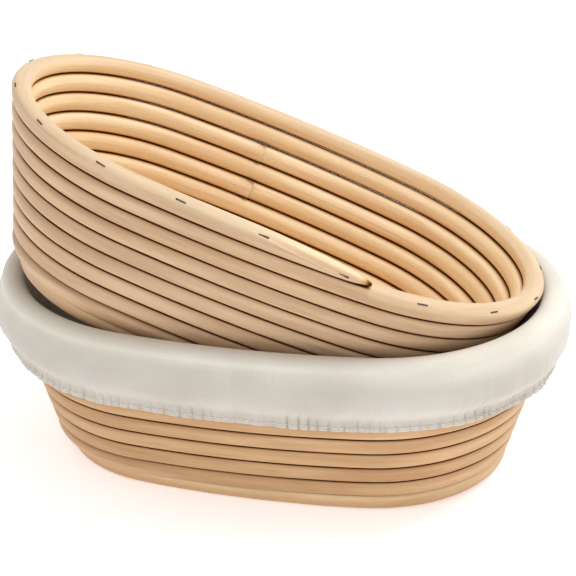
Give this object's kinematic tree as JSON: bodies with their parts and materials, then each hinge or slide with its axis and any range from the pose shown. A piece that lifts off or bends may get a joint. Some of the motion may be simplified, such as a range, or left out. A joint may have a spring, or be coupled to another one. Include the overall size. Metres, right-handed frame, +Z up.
{
  "type": "banneton basket",
  "caption": "Oval proving baskets of coiled rattan cane, one leaning in the other over an elasticated cloth liner.",
  "frame": {"origin": "on the surface the lower basket stands on, at the middle of its base", "axes": "+X along the lower basket's long axis, +Z up through its mouth"},
  "size_m": [0.2544, 0.173, 0.1758],
  "materials": {
    "rattan_cane": "satin",
    "staple_wire": "satin",
    "cotton_linen": "matte",
    "thread": "matte",
    "elastic": "matte"
  },
  "bodies": {
    "lower_basket": {"lower_base_core": "rattan_cane", "lower_base_cane": "rattan_cane", "lower_wall_cane_1": "rattan_cane", "lower_wall_cane_2": "rattan_cane", "lower_rim_cane": "rattan_cane", "lower_base_staples": "staple_wire", "lower_wall_staples": "staple_wire", "lower_rim_staples": "staple_wire"},
    "liner": {"liner_base_panel": "cotton_linen", "liner_wall_band": "cotton_linen", "liner_skirt": "cotton_linen", "liner_hem_casing": "cotton_linen", "liner_elastic": "elastic", "liner_base_stitches": "thread", "liner_hem_stitches": "thread", "liner_side_seam": "thread"},
    "upper_basket": {"upper_base_core": "rattan_cane", "upper_base_cane": "rattan_cane", "upper_wall_cane_1": "rattan_cane", "upper_wall_cane_2": "rattan_cane", "upper_rim_cane": "rattan_cane", "upper_base_staples": "staple_wire", "upper_wall_staples": "staple_wire", "upper_rim_staples": "staple_wire"}
  },
  "joints": [
    {"name": "liner_lift", "type": "slide", "parent": "lower_basket", "child": "liner", "axis": [0, 0, 1], "range_m": [0, 0.14], "deforming": ["liner_skirt", "liner_hem_casing", "liner_elastic", "liner_hem_stitches"]},
    {"name": "upper_basket_lift", "type": "slide", "parent": "liner", "child": "upper_basket", "axis": [0.3287, 0.1185, 0.937], "range_m": [0, 0.15]}
  ]
}
